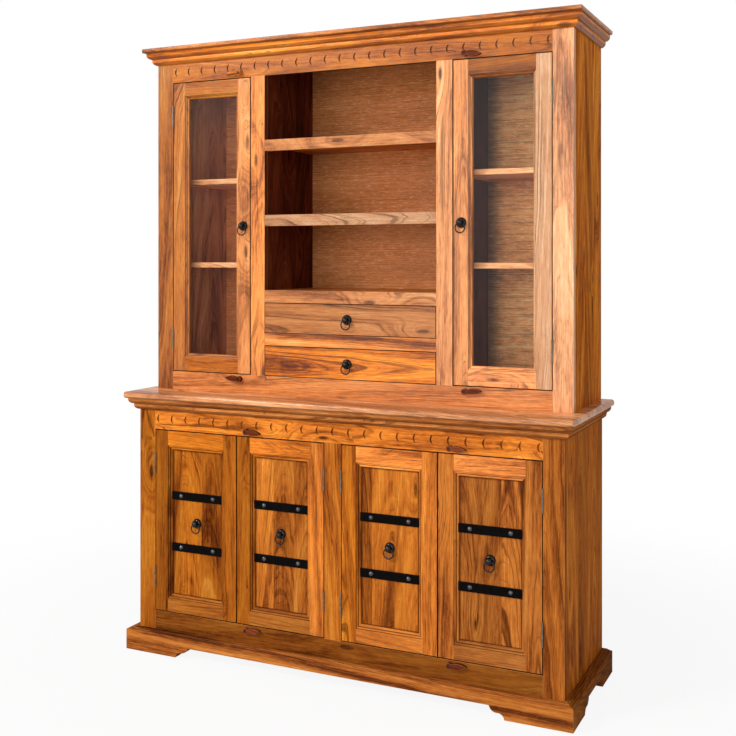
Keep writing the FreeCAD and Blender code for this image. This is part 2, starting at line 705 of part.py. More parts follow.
def hutch_case(latches):
    """Carcass, face frame, shelves, top and cornice of the hutch."""
    floor_bottom = hutch_opening_bottom - floor_thickness
    floor = box(-inside_half - housing_depth, inside_half + housing_depth,
                hutch_inner_front, hutch_inner_back, floor_bottom, hutch_opening_bottom)
    partition_half = bay_half + hutch_partition_thickness
    cabinet_shelves = []
    for side in SIDES:
        for top in cabinet_shelf_tops:
            inner = side * (inner_stile_half - housing_depth)
            outer = side * (opening_half + housing_depth)
            front = hutch_inner_front + cabinet_shelf_setback
            bottom = top - cabinet_shelf_thickness
            cabinet_shelves.append(box(inner, outer, front, hutch_inner_back, bottom, top))
    linings = []
    for side in SIDES:
        for face, outward in ((inner_stile_half, -1), (opening_half, 1)):
            hidden = face + outward * cabinet_lining_thickness
            board = box(side * face, side * hidden, hutch_inner_front, hutch_inner_back, hutch_opening_bottom,
                        hutch_top_bottom)
            linings.append(board.cut(cabinet_shelves))
    bay_boards = []
    for top in bay_shelf_tops:
        bay_boards.append(box(-bay_half - housing_depth, bay_half + housing_depth, hutch_inner_front,
                              hutch_inner_back, top - bay_shelf_thickness, top))
    bay_boards.append(box(-bay_half - housing_depth, bay_half + housing_depth, hutch_inner_front,
                          hutch_inner_back, upper_rail_top - drawer_top_thickness, upper_rail_top))
    bay_front = hutch_front + bay_face_setback
    lips = [box(-bay_half, bay_half, bay_front, hutch_inner_front, top - bay_shelf_lip_height, top)
            for top in bay_shelf_tops]
    rails = [box(-bay_half, bay_half, bay_front, hutch_inner_front, bottom, bottom + drawer_rail_height)
             for bottom in (middle_rail_bottom, upper_rail_bottom)]
    runners = [box(side * (bay_half - runner_width), side * bay_half, hutch_inner_front, hutch_inner_back,
                   middle_rail_top - runner_height, middle_rail_top) for side in SIDES]
    partitions = [box(side * bay_half, side * partition_half, hutch_inner_front, hutch_inner_back,
                      hutch_opening_bottom, hutch_top_bottom) for side in SIDES]
    sides = [box(side * inside_half, side * base_half, hutch_inner_front, hutch_back, counter_height,
                 hutch_top_bottom) for side in SIDES]
    stiles = []
    for side in SIDES:
        stiles.append(box(side * opening_half, side * base_half, hutch_front, hutch_inner_front,
                          counter_height, hutch_top_bottom))
        stiles.append(box(side * bay_half, side * inner_stile_half, hutch_front, hutch_inner_front,
                          hutch_opening_bottom, hutch_opening_top))
    top_rail = face_rail(hutch_front, hutch_opening_top, hutch_top_bottom, latches)
    top_rail = carved(top_rail, hutch_front, hutch_opening_top + hutch_crescent_lift, hutch_crescent_count)
    bottom_rail = face_rail(hutch_front, counter_height, hutch_opening_bottom, latches)
    save("hutch_floor", [floor])
    save("cabinet_shelves", cabinet_shelves)
    save("centre_shelves", bay_boards + lips)
    save("drawer_rails", rails + runners)
    save("hutch_partitions", [board.cut(bay_boards) for board in partitions] + linings)
    save("hutch_sides", [board.cut(floor) for board in sides])
    save("hutch_back", [box(-inside_half, inside_half, hutch_inner_back, hutch_back, counter_height,
                            hutch_top_bottom)])
    save("hutch_stiles", stiles)
    save("hutch_rails", [top_rail, bottom_rail])
    top_half = base_half + hutch_top_side_overhang
    top_front = hutch_front - hutch_top_front_overhang
    save("hutch_top", [nosed_board(top_half, top_front, hutch_back, hutch_top_bottom, total_height,
                                   hutch_top_nose_radius)])
    save("cornice", mitred_run(base_half, hutch_front, hutch_back, moulding_projection,
                               moulding_profile(hutch_top_bottom - moulding_height)))


def drawer(name, opening_bottom):
    """Front, box, pull stud and ring of one drawer that runs on the boards under its sides."""
    front = box(-bay_half + drawer_front_gap, bay_half - drawer_front_gap, hutch_front, hutch_inner_front,
                opening_bottom + drawer_front_gap, opening_bottom + drawer_opening_height - drawer_front_gap)
    outer = bay_half - drawer_side_gap
    inner = outer - drawer_wall
    low = opening_bottom + drawer_run_gap
    high = opening_bottom + drawer_opening_height - drawer_wall_drop
    back = hutch_inner_back - drawer_back_gap
    bottom = box(-inner - drawer_groove, inner + drawer_groove, hutch_inner_front - drawer_groove,
                 back - drawer_wall + drawer_groove, low + drawer_bottom_lift,
                 low + drawer_bottom_lift + drawer_bottom_thickness)
    walls = [box(side * inner, side * outer, hutch_inner_front, back, low, high) for side in SIDES]
    walls.append(box(-inner, inner, back - drawer_wall, back, low, high))
    middle = opening_bottom + drawer_opening_height / 2
    save(name + "_front", [front.cut(bottom)])
    save(name + "_box", [wall.cut(bottom) for wall in walls] + [bottom])
    save(name + "_pull", [pull_stud(0, hutch_front, middle)])
    save(name + "_ring", [pull_ring(0, hutch_front, middle)])


def lower_door(door, door_leaves):
    """Woodwork, ironwork and ring of one panelled door."""
    panel = door_panel(door, panel_thickness)
    nails = rivets(door)
    seat = door.front + panel_recess
    stud = pull_stud(door.middle_x, seat, door.middle_z)
    bars = [bar.cut(nails) for bar in straps(door, 0)]
    save(door.name + "_woodwork", door_frame(door, [panel] + straps(door, strap_end_gap)) + [panel.cut(nails)])
    save(door.name + "_ironwork", bars + nails + [stud] + door_leaves)
    save(door.name + "_ring", [pull_ring(door.middle_x, seat, door.middle_z)])


def upper_door(door, door_leaves):
    """Frame, pane, ironwork and ring of one glazed door."""
    pane = door_panel(door, glass_thickness)
    pull_x = door.free_edge + door.hinge * pull_inset
    save(door.name + "_frame", door_frame(door, [pane]))
    save(door.name + "_glass", [pane])
    save(door.name + "_ironwork", [pull_stud(pull_x, door.front, door.middle_z)] + door_leaves)
    save(door.name + "_ring", [pull_ring(pull_x, door.front, door.middle_z)])


def main():
    os.makedirs("parts", exist_ok=True)
    panelled = lower_doors()
    glazed = upper_doors()
    latched = [panelled[1], panelled[3]] + glazed
    latches = [Latch(door, end) for door in latched for end in SIDES]
    base_case([latch for latch in latches if latch.front == base_front])
    hutch_case([latch for latch in latches if latch.front == hutch_front])
    case_leaves = []
    pins = []
    for door in panelled + glazed:
        door_leaves = []
        for case_leaf, pin, door_leaf in hinges(door):
            case_leaves.append(case_leaf)
            pins.append(pin)
            door_leaves.append(door_leaf)
        build = lower_door if door in panelled else upper_door
        build(door, door_leaves)
    save("case_hinge_leaves", case_leaves)
    save("hinge_pins", pins)
    for latch in latches:
        save(latch.name, [latch_body(latch)])
    save("latch_screws", [latch_screw(latch) for latch in latches])
    drawer("lower_drawer", hutch_opening_bottom)
    drawer("upper_drawer", middle_rail_top)


main()
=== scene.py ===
import json
import math
import random

import bmesh
import bpy
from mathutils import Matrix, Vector


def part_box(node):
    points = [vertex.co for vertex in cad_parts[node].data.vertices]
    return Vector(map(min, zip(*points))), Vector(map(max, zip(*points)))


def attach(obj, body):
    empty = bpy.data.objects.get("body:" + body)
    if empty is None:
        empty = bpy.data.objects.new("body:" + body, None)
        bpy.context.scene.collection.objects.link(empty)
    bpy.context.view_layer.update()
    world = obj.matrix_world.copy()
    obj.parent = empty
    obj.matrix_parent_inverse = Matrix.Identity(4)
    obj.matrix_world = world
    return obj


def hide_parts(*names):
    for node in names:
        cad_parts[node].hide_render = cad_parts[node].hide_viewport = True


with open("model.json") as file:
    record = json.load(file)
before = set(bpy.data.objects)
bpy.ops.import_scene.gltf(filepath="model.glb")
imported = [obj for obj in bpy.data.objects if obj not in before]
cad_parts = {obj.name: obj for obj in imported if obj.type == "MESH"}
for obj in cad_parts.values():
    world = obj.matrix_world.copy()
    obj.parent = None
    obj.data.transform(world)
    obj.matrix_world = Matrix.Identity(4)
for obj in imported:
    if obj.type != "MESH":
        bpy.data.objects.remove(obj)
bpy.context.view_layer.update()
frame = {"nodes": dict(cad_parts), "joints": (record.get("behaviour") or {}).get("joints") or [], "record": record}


def linear(red, green, blue):
    """Linear colour of three 8-bit values."""
    return tuple((c / 255 / 12.92) if c <= 10 else ((c / 255 + 0.055) / 1.055) ** 2.4
                 for c in (red, green, blue)) + (1.0,)


# Camera of the photograph
CAMERA_PLACE = (1.5691, -3.2787, 1.3627)
CAMERA_TURN = (math.radians(90), 0.0, math.radians(25.22))
CAMERA_LENS = 52.30
CAMERA_SENSOR = 36.0
CAMERA_SHIFT = -0.1476

# Lamps: name, place, target, width and height, power
LAMPS = (
    ("key", (1.9, -7.0, 2.4), (0.0, 0.0, 1.1), (2.4, 2.4), 100.0),
    ("left", (-4.0, -5.5, 5.0), (0.0, 0.0, 1.1), (1.8, 1.8), 370.0),
    ("window", (-1.2, -7.0, 1.64), (0.0, 0.0, 1.1), (3.2, 3.0), 108.0),
    ("fill", (3.4, -2.2, 1.8), (0.4, 0.0, 1.1), (2.2, 2.2), 14.0),
)

# Surroundings
AMBIENT = 0.34
WHITE = (1.0, 1.0, 1.0, 1.0)
FLOOR_HALF = 40.0
FLOOR_PARTS = 8
FLOOR_LEVEL = -0.0006
FLOOR_SPECKS = 3.0
FLOOR_GREYS = ((0.78, 0.78, 0.78, 1.0), (0.84, 0.84, 0.84, 1.0))
FLOOR_WHITE_SHARE = 0.9
FLOOR_SHADOW_REACH = (0.9, 2.6)

# Points closer than a micrometre are one corner
MICROMETRES = 1e6

# Rounded edges, and the angles and slopes that tell faces apart
WOOD_EDGE = 0.0008
FINE_EDGE = 0.0004
STRAP_EDGE = 0.0006
LATCH_EDGE = 0.0018
LONG_EDGE = 0.012
EDGE_STEPS = 2
LATCH_STEPS = 3
ROUND_PROFILE = 0.5
FLAT_ANGLE = math.radians(0.6)
SHARP_ANGLE = math.radians(35)
METAL_ANGLE = math.radians(40)
LATCH_ANGLE = math.radians(50)
SQUARE_ON = 0.9
SIDEWAYS = 0.5

# Wear and painted highlight of the faces' colour above zero, painted shade below zero (in gaps, gouges, mouldings,
# undersides and round the panels)
EDGE_WEAR_AND_HIGHLIGHT = 1.0
# Painted shade on the faces in the gaps round doors and drawers
GAP_PAINTED_SHADE = -1.0
# Painted shade on the steep walls and ledges of the door mouldings
MOULDING_PAINTED_SHADE = -0.85
# Painted shade inside the carved gouges
GOUGE_PAINTED_SHADE = -0.7
# Painted shade on the faces of the counter, the top and their mouldings that look downwards
UNDERSIDE_PAINTED_SHADE = -0.6
# Painted shadow round the lower doors' panels beside the frames, then its widths on the left, right, bottom and
# top, widest on the left and top
PANEL_PAINTED_SHADOW = -1.1
PANEL_SHADE = (0.008, 0.005, 0.005, 0.007)
UNDERSIDE_SLOPE = -0.35
MOULDING_SLOPE = (0.55, 0.99)
GOUGE_DEPTH = 0.0004
GAP_DEPTH = 0.0002
CASE_HALF = 0.7595

# Widths of the strips that wide boards are glued from
ONE_BOARD = 10.0
PLANKS = {
    "base_sides": 0.118, "hutch_sides": 0.105, "countertop": 0.131, "hutch_top": 0.12,
    "base_shelves": 0.1, "cabinet_shelves": 0.09, "centre_shelves": 0.11, "base_floor": 0.11,
    "hutch_floor": 0.11, "base_partition": 0.112, "hutch_partitions": 0.1,
}
DOOR_PANEL = 2
DOOR_PANEL_PLANK = 0.078
FIRST_STRIP = (0.2, 0.8)
SEEDS = 50.0

# Sizes that tell the metal pieces of a door apart
LEAF_HEIGHT = 0.06
STRAP_LENGTH = 0.1
RIVET_WIDTH = 0.018

# Tone (dark below zero, pale above) and warmth (amber at zero, tan at one) of the boards of a
# node, in order of x, then z. The pale tan of the hutch's right-hand boards is painted sheen, and the plinth's
# dark right-hand side board is painted shade
BOARDS = {
    # The plinth's last board, its right-hand side, is dark as painted shade
    "plinth": [(-0.25, 0.1), (-0.2, 0.1), (-0.2, 0.1), (-0.5, 0.15), (-0.2, 0.1), (-0.2, 0.1),
               (-1.4, 0.05)],
    "base_stiles": [(-0.98, 0.0), (-0.57, 0.03), (-0.59, 0.08)],
    "base_rails": [(-1.06, 0.05), (0.4, 0.05)],
    "base_sides": [(0.0, 0.0), (-0.19, 0.03)],
    "countertop": [(0.31, 0.65)],
    "counter_moulding": [(-0.1, 0.1), (0.0, 0.25), (-0.1, 0.15)],
    # Paler and more tan towards the right as painted sheen
    "hutch_stiles": [(-0.9, 0.14), (0.6, 0.24), (0.13, 0.57), (0.88, 0.96)],
    "hutch_rails": [(-0.2, 0.3), (-0.11, 0.0)],
    "hutch_sides": [(0.0, 0.05), (0.04, 0.02)],
    # The dark tones here, with the dark wood of the listed boards, are painted shade on the side walls of the bays
    # and cabinets
    "hutch_partitions": [(-0.55, 0.97), (0.0, 0.1), (-0.78, 0.0), (-0.78, 0.0), (-0.85, 0.0),
                         (0.0, 0.1)],
    "hutch_top": [(0.1, 0.2)],
    "cornice": [(-0.05, 0.0), (0.49, 0.0), (-0.1, 0.1)],
    "centre_shelves": [(0.0, 0.1), (-0.6, 1.0), (0.0, 0.1), (-0.08, 0.36), (0.0, 0.1)],
    "cabinet_shelves": [(0.6, 0.9)],
    "drawer_rails": [(-0.2, 0.1), (0.2, 0.2), (0.1, 0.45), (-0.2, 0.1)],
    "upper_drawer_front": [(-0.64, 0.35)],
    "lower_drawer_front": [(0.5, 0.0)],
    "lower_door_1_woodwork": [(-0.93, 0.0), (-0.84, 0.08), (-0.75, 0.0), (0.01, 0.0), (-0.41, 0.0)],
    "lower_door_2_woodwork": [(-0.9, 0.0), (-0.53, 0.1), (-0.35, 0.06), (0.22, 0.05), (0.49, 0.09)],
    "lower_door_3_woodwork": [(-0.61, 0.0), (0.14, 0.12), (-0.37, 0.04), (0.84, 0.15),
                              (-0.22, 0.08)],
    "lower_door_4_woodwork": [(-0.11, 0.11), (-1.16, 0.19), (-0.68, 0.11), (0.76, 0.23),
                              (-0.38, 0.13)],
    "upper_door_left_frame": [(-0.31, 0.16), (-0.51, 0.0), (-0.78, 0.0), (-0.09, 0.39)],
    # The pale tan boards of this door are painted sheen
    "upper_door_right_frame": [(0.02, 0.46), (1.36, 0.46), (-1.1, 0.0), (-0.22, 1.0)],
}
PLAIN_BOARD = [(-0.1, 0.05)]
# Partition boards in dark red-brown wood: painted shade on the side walls of the bays and cabinets
DARK_BOARDS = {"hutch_partitions": (2, 3, 4)}
DARK_LATCH = (0.0, 0.2)
PALE_LATCH = (0.1, 0.2)
CROWNS = ("countertop", "counter_moulding", "hutch_top", "cornice")
CARVED = ("base_rails", "hutch_rails")
FACE_FRAME = ("base_stiles", "base_rails", "hutch_stiles", "hutch_rails", "drawer_rails")
HUTCH_FRONT = ("hutch_stiles", "hutch_rails", "cornice", "centre_shelves", "drawer_rails",
               "upper_drawer_front", "lower_drawer_front", "upper_door_left_frame",
               "upper_door_right_frame")

# Colours of the woods, from dark to pale
AMBER = [(0.0, linear(58, 20, 5)), (0.26, linear(122, 56, 14)), (0.5, linear(190, 102, 28)),
         (0.74, linear(220, 129, 36)), (1.0, linear(240, 160, 62))]
TAN = [(0.0, linear(82, 44, 26)), (0.26, linear(158, 98, 62)), (0.5, linear(208, 146, 98)),
       (0.74, linear(228, 172, 126)), (1.0, linear(246, 208, 172))]
RED_BROWN = [(0.0, linear(34, 10, 6)), (0.3, linear(72, 27, 14)), (0.6, linear(112, 48, 26)),
             (1.0, linear(150, 78, 46))]
VENEER = [(0.0, linear(118, 60, 26)), (0.45, linear(172, 102, 54)), (1.0, linear(214, 144, 90))]

# Strength and colour of the marks in the woods
LINE_MARK = (0.8, linear(74, 30, 8))
PORE_MARK = (0.4, linear(70, 30, 10))
KNOT_MARK = (0.88, linear(44, 16, 6))
# Colour of the painted shade in gaps, gouges, mouldings, undersides and round the panels
PAINTED_SHADE_MARK = (0.88, linear(52, 18, 5))
FLECK_MARK = (0.65, linear(232, 180, 134))
WAVE_MARK = (0.12, linear(236, 186, 142))
# Pale colour of rounded edges: wear, and painted highlight
WORN_AND_HIGHLIT_WOOD = linear(226, 156, 92)

# Solid wood. Scales are per metre along, across and through a board, rings are per metre of radius.
STRIP_STEP = 9.0
SEED_STEP = 3.1
PITH_ASIDE = 0.15
PITH_DEPTH = (0.08, 0.02)
KNOT_CELLS = (2.6, 9.0, 0.0)
KNOT_RARITY = 0.78
KNOT_RAGGED = 0.08
KNOT_RAGGED_SCALE = (14.0, 40.0, 40.0)
KNOT_RIM = (0.085, 0.03)
EYE_RIM = (0.5, 0.0)
EYE_BEND = 0.035
SWAY = 0.052
SWAY_SCALE = (1.5, 6.0, 6.0)
RIPPLE = 0.009
RIPPLE_SCALE = (7.0, 34.0, 34.0)
RING_SLOPE = (0.2, 1.0, 0.1, 0.045)
BROAD_RINGS = 34.0
FINE_RINGS = 230.0
LINE_RINGS = 95.0
LINE_RIM = (0.024, 0.0)
LINE_FADE = (0.38, 0.64)
LINE_FADE_SCALE = (2.2, 16.0, 16.0)
DRIFT_SCALE = (1.8, 8.0, 8.0)
FIBRE_SCALE = (6.0, 250.0, 250.0)
MOTTLE_SCALE = (24.0, 120.0, 120.0)
PORE_SCALE = (28.0, 900.0, 900.0)
PORE_RIM = (0.62, 0.74)
MIDDLE_SHADE = 0.52
BROAD_WEIGHT = 0.8
FINE_WEIGHT = 0.5
DRIFT_WEIGHT = 0.9
FIBRE_WEIGHT = 0.8
MOTTLE_WEIGHT = 0.6
TONE_WEIGHT = 0.5
STRIP_TONE = 0.4
# How much of the pale rounded edges, wear and painted highlight, shows along the drift
WEAR_AND_HIGHLIGHT_DRIFT = (0.3, 0.7, 0.15, 0.5)
FIBRE_HEIGHT = 0.5
LINE_HEIGHT = 0.4
GRAIN_RELIEF = (0.22, 0.0006)
FIBRE_SHEEN = 0.16
PORE_SHEEN = 0.15
COAT_SMOOTHER = 0.16
COAT_IOR = 1.5

# Plywood, in the same scales
WANDER = 0.012
WANDER_SCALE = (3.0, 14.0, 14.0)
LEVEL_LINES = 260.0
FLECK_SCALE = (40.0, 240.0, 240.0)
FLECK_RIM = (0.5, 0.74)
VENEER_FIBRE_SCALE = (9.0, 520.0, 520.0)
CLOUD_SCALE = (2.0, 6.0, 6.0)
PATCH_SCALE = (16.0, 70.0, 70.0)
CREST_SCALE = (5.0, 9.0, 9.0)
CREST_BEND = 0.07
CREST_LINES = 42.0
CREST_RIM = (0.02, 0.0)
CREST_FADE = (0.42, 0.62)
VENEER_SHADE = -0.38
VENEER_FIBRE_WEIGHT = 0.45
CLOUD_WEIGHT = 0.4
LEVEL_WEIGHT = 0.8
PATCH_WEIGHT = 0.7
FLECK_HEIGHT = 0.5
VENEER_RELIEF = (0.25, 0.0006)
VENEER_SHEEN = (0.2, 0.42)
VENEER_COAT = 0.12
VENEER_COAT_ROUGHNESS = 0.14

# Painted light and shade on the front of the hutch's back: half width of the middle bay, then start, end and both
# values along x or, for the painted sheen's streaks on the right, along the grain's unevenness; then the painted
# light of the left cabinet and the painted sheen's paler, bluer cast
BACK_HALF = 0.335
# Painted shadow in the middle bay, darker towards its left
MIDDLE_PAINTED_SHADOW = (-0.30, 0.02, 1.0, 1.45)
# Painted shadow then painted light across the right cabinet
RIGHT_PAINTED_SHADOW_AND_LIGHT = (0.372, 0.44, 0.55, 2.4)
# Streaks in that painted light, as painted sheen
RIGHT_PAINTED_SHEEN_STREAKS = (0.5, 1.0, 0.76, 1.24)
SHEEN_STREAK_LEVEL = 0.6
SHEEN_STREAK_PATCH = 0.9
# Painted light in the left cabinet
LEFT_PAINTED_LIGHT = 1.9
# Paler, bluer cast as painted sheen, strongest in the right cabinet
PAINTED_SHEEN_TINT = 0.085
RIGHT_PAINTED_SHEEN_TINT = 0.36
PAINTED_SHEEN_BLUE = 1.7

# Metals
METAL_MOTTLE = (90.0, 4.0, 0.6)
METAL_MOTTLE_RIM = (0.3, 0.7)
METAL_RUBBED = (0.35, 0.65, 0.2, 0.8)
METAL_SCRATCHES = (60.0, 900.0, 900.0)
METAL_DENTS = 260.0
METAL_DENT_DEPTH = 0.0008
MOTTLE_SHEEN = 0.2
SCRATCH_SHEEN = 0.1

# Panes: colour, uneven faces, smears, and the soft share that a face mirrors when seen square on
PANE_TINT = (0.98, 0.985, 0.982, 1.0)
PANE_WAVES = 7.0
PANE_RELIEF = (0.03, 0.01)
PANE_SMEARS = 16.0
PANE_SMEAR = (0.35, 0.75, 0.015, 0.06)
PANE_MIRROR = 0.0059
PANE_HAZE = 0.35
PANE_GRAZING = 5.0


class Shader:
    """Adds and links the nodes of one material or world."""

    def __init__(self, tree):
        self.tree = tree
        self.tree.nodes.clear()

    def add(self, kind, inputs=(), **settings):
        node = self.tree.nodes.new("ShaderNode" + kind)
        for name, value in settings.items():
            setattr(node, name, value)
        for key, value in dict(inputs).items():
            self.feed(node.inputs[key], value)
        return node

    def feed(self, socket, value):
        if isinstance(value, bpy.types.NodeSocket):
            self.tree.links.new(value, socket)
        else:
            socket.default_value = value

    def math(self, operation, first, second=0.0, third=0.0):
        return self.add("Math", {0: first, 1: second, 2: third}, operation=operation).outputs[0]

    def plus(self, first, second):
        return self.math("ADD", first, second)

    def minus(self, first, second):
        return self.math("SUBTRACT", first, second)

    def times(self, first, second):
        return self.math("MULTIPLY", first, second)

    def times_plus(self, first, second, third):
        return self.math("MULTIPLY_ADD", first, second, third)

    def centred(self, value, weight):
        """A value from zero to one, made even about zero and weighted."""
        return self.times_plus(value, weight, -weight / 2)

    def switched(self, switch, off, on):
        """One of two values, by a switch of zero or one."""
        return self.times_plus(switch, self.minus(on, off), off)

    def vector(self, x, y, z):
        return self.add("CombineXYZ", {0: x, 1: y, 2: z}).outputs[0]

    def scaled(self, vector, factors):
        node = self.add("VectorMath", {0: vector, 1: factors}, operation="MULTIPLY")
        return node.outputs[0]

    def parts(self, vector):
        return self.add("SeparateXYZ", {0: vector}).outputs

    def colours(self, colour):
        return self.add("SeparateColor", {0: colour}).outputs

    def attribute(self, name):
        return self.add("Attribute", attribute_name=name).outputs

    def own_place(self):
        return self.add("TexCoord").outputs["Object"]

    def noise(self, vector, scale=1.0, detail=2.0, roughness=0.5):
        node = self.add("TexNoise", {"Vector": vector, "Scale": scale, "Detail": detail,
                                     "Roughness": roughness})
        return node.outputs[0]

    def stretched(self, vector, scales, detail=2.0, roughness=0.5):
        """Noise with a scale for each direction."""
        return self.noise(self.scaled(vector, scales), 1.0, detail, roughness)

    def noise_line(self, along, scale, detail=2.0, roughness=0.5):
        node = self.add("TexNoise", noise_dimensions="1D")
        for key, value in {"W": along, "Scale": scale, "Detail": detail,
                           "Roughness": roughness}.items():
            self.feed(node.inputs[key], value)
        return node.outputs[0]

    def crests(self, along, scale):
        """Distance of a line of noise from its middle value."""
        return self.math("ABSOLUTE", self.minus(self.noise_line(along, scale, 1.0), 0.5))

    def span(self, value, low, high, start=0.0, end=1.0):
        node = self.add("MapRange", {0: value, 1: low, 2: high, 3: start, 4: end},
                        interpolation_type="SMOOTHSTEP")
        return node.outputs[0]

    def mix(self, share, first, second, blend="MIX"):
        node = self.add("Mix", data_type="RGBA", blend_type=blend)
        for index, value in ((0, share), (6, first), (7, second)):
            self.feed(node.inputs[index], value)
        return node.outputs[2]

    def marked(self, colour, amount, mark):
        strength, mark_colour = mark
        return self.mix(self.times(amount, strength), colour, mark_colour)

    def ramp(self, value, stops):
        node = self.add("ValToRGB", {0: value})
        elements = node.color_ramp.elements
        while len(elements) < len(stops):
            elements.new(0.5)
        for element, (place, colour) in zip(elements, stops):
            element.position = place
            element.color = colour
        return node.outputs[0]

    def bump(self, height, strength, distance):
        node = self.add("Bump", {"Height": height, "Strength": strength, "Distance": distance})
        return node.outputs[0]

    def gloss(self, roughness, normal):
        return self.add("BsdfGlossy", {"Color": WHITE, "Roughness": roughness, "Normal": normal})

    def blend(self, share, first, second):
        return self.add("MixShader", {0: share, 1: first.outputs[0], 2: second.outputs[0]})

    def varnished(self, colour, roughness, coat, coat_roughness, normal):
        """Matt colour under a clear coat."""
        self.surface(self.add("BsdfPrincipled", {
            "Base Color": colour, "Roughness": roughness, "Specular IOR Level": 0.0,
            "Coat Weight": coat, "Coat Roughness": coat_roughness, "Coat IOR": COAT_IOR,
            "Normal": normal, "Coat Normal": normal}))

    def surface(self, shader):
        self.feed(self.add("OutputMaterial").inputs[0], shader.outputs[0])


def material(name):
    made = bpy.data.materials.new(name)
    made.use_nodes = True
    return made, Shader(made.node_tree)


def wood(name, amber, tan, roughness, varnish):
    """Solid wood: rings round a pith beside each board, with fibres, pores, knots, pale edges that are partly wear
    and partly painted highlight, and painted shade.
    """
    made, s = material(name)
    along, across, deep = s.parts(s.attribute("grain")["Vector"])
    board = s.attribute("board")
    seed, tone, warmth = s.colours(board["Color"])
    plank_width = board["Alpha"]
    edge = s.attribute("edge")["Fac"]

    # Place in the tree, with a pith of its own for each strip
    plank = s.math("FLOOR", s.math("DIVIDE", across, plank_width))
    plank_middle = s.times(s.plus(plank, 0.5), plank_width)
    dice = s.add("TexWhiteNoise", {"Vector": s.vector(plank, seed, 0.0)}).outputs["Color"]
    first, second, third = s.colours(dice)
    u = s.plus(along, s.times_plus(first, STRIP_STEP, s.times(seed, SEED_STEP)))
    v = s.plus(s.minus(across, plank_middle), s.centred(second, PITH_ASIDE))
    w = s.plus(deep, s.times_plus(third, *PITH_DEPTH))
    place = s.vector(u, v, w)

    # Knots, and the eyes of bent rings round them
    cells = s.add("TexVoronoi", {"Vector": s.scaled(place, KNOT_CELLS), "Scale": 1.0},
                  voronoi_dimensions="2D").outputs
    chosen = s.math("GREATER_THAN", s.colours(cells["Color"])[0], KNOT_RARITY)
    ragged = s.centred(s.stretched(place, KNOT_RAGGED_SCALE), KNOT_RAGGED)
    eye_distance = s.plus(cells["Distance"], ragged)
    eye = s.times(chosen, s.span(eye_distance, *EYE_RIM))
    knot = s.times(chosen, s.span(eye_distance, *KNOT_RIM))

    # Distance from the pith
    radius = s.math("SQRT", s.plus(s.times(v, v), s.times(w, w)))
    sway = s.centred(s.stretched(place, SWAY_SCALE, 1.0), SWAY)
    ripple = s.centred(s.stretched(place, RIPPLE_SCALE), RIPPLE)
    slope = s.span(plank_width, *RING_SLOPE)
    radius = s.plus(s.times_plus(u, slope, radius), s.plus(sway, ripple))
    radius = s.times_plus(eye, EYE_BEND, radius)

    broad = s.noise_line(radius, BROAD_RINGS, 1.0)
    fine = s.noise_line(radius, FINE_RINGS, 2.0, 0.6)
    line_fade = s.span(s.stretched(place, LINE_FADE_SCALE), *LINE_FADE)
    lines = s.times(s.span(s.crests(radius, LINE_RINGS), *LINE_RIM), line_fade)
    drift = s.stretched(place, DRIFT_SCALE)
    fibre = s.stretched(place, FIBRE_SCALE, 3.0, 0.65)
    mottle = s.stretched(place, MOTTLE_SCALE, 3.0, 0.65)
    pores = s.span(s.stretched(place, PORE_SCALE, 1.0), *PORE_RIM)

    shade = s.times_plus(broad, BROAD_WEIGHT, MIDDLE_SHADE - BROAD_WEIGHT / 2)
    for value, weight in ((fine, FINE_WEIGHT), (drift, DRIFT_WEIGHT), (fibre, FIBRE_WEIGHT),
                          (mottle, MOTTLE_WEIGHT)):
        shade = s.plus(shade, s.centred(value, weight))
    colour = s.mix(warmth, s.ramp(shade, amber), s.ramp(shade, tan))
    for amount, mark in ((lines, LINE_MARK), (pores, PORE_MARK), (knot, KNOT_MARK)):
        colour = s.marked(colour, amount, mark)
    bright = s.plus(s.times_plus(tone, TONE_WEIGHT, 1.0), s.centred(first, STRIP_TONE))
    colour = s.mix(1.0, colour, s.vector(bright, bright, bright), "MULTIPLY")
    # Pale rounded edges: partly wear, partly painted highlight
    wear = s.times(s.math("MAXIMUM", edge, 0.0), s.span(drift, *WEAR_AND_HIGHLIGHT_DRIFT))
    colour = s.mix(wear, colour, WORN_AND_HIGHLIT_WOOD)
    # Painted shade where the edge value is below zero
    painted_shade = s.math("MAXIMUM", s.times(edge, -1.0), 0.0)
    colour = s.marked(colour, painted_shade, PAINTED_SHADE_MARK)

    grooves = s.plus(pores, s.times(lines, LINE_HEIGHT))
    height = s.minus(s.times(fibre, FIBRE_HEIGHT), grooves)
    sheen = s.times_plus(fibre, FIBRE_SHEEN, roughness - FIBRE_SHEEN / 2)
    sheen = s.times_plus(pores, PORE_SHEEN, sheen)
    s.varnished(colour, sheen, varnish, roughness - COAT_SMOOTHER, s.bump(height, *GRAIN_RELIEF))
    return made


